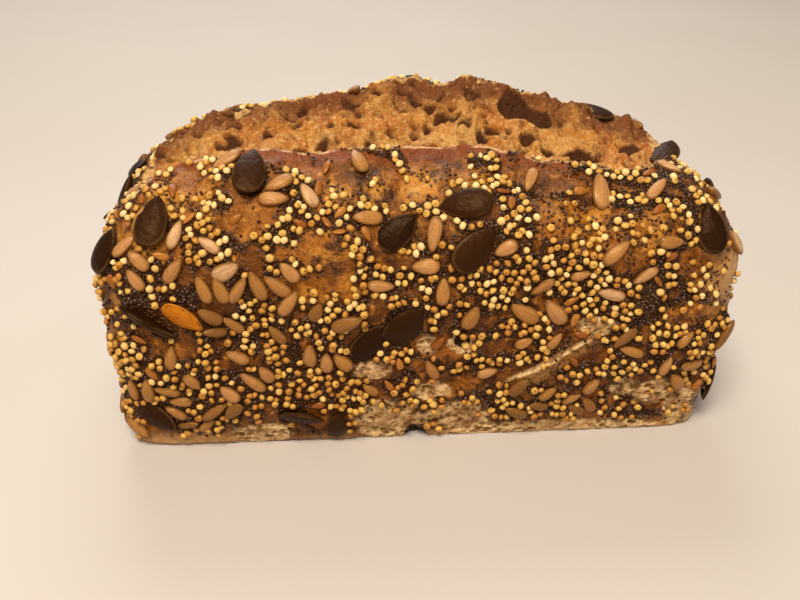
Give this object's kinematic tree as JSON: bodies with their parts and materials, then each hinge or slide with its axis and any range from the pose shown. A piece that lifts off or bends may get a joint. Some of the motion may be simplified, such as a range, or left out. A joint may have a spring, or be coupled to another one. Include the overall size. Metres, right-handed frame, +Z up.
{
  "type": "rye bread loaf",
  "caption": "Rye loaf baked in a small tin, scored once along its top so the crumb has opened, its crust covered in seeds.",
  "frame": {"origin": "middle of the loaf's box at the level of its flat base", "axes": "+X along the loaf, +Y from the front lip of the score towards its back lip, +Z up"},
  "size_m": [0.1841, 0.0969, 0.0958],
  "materials": {
    "crust": "baked rye crust, amber to dark brown, slightly glossy where it is bare",
    "pumpkin_seed": "roasted pumpkin seed, dark brown, with a soft sheen",
    "sunflower_kernel": "roasted sunflower kernel, tan to brown, matt",
    "millet": "millet grain, pale yellow to gold, slightly glossy",
    "poppy_seed": "poppy seed, blue black, matt",
    "linseed": "linseed, reddish brown, glossy"
  },
  "bodies": {
    "root": {"loaf": "crust"}
  },
  "joints": []
}
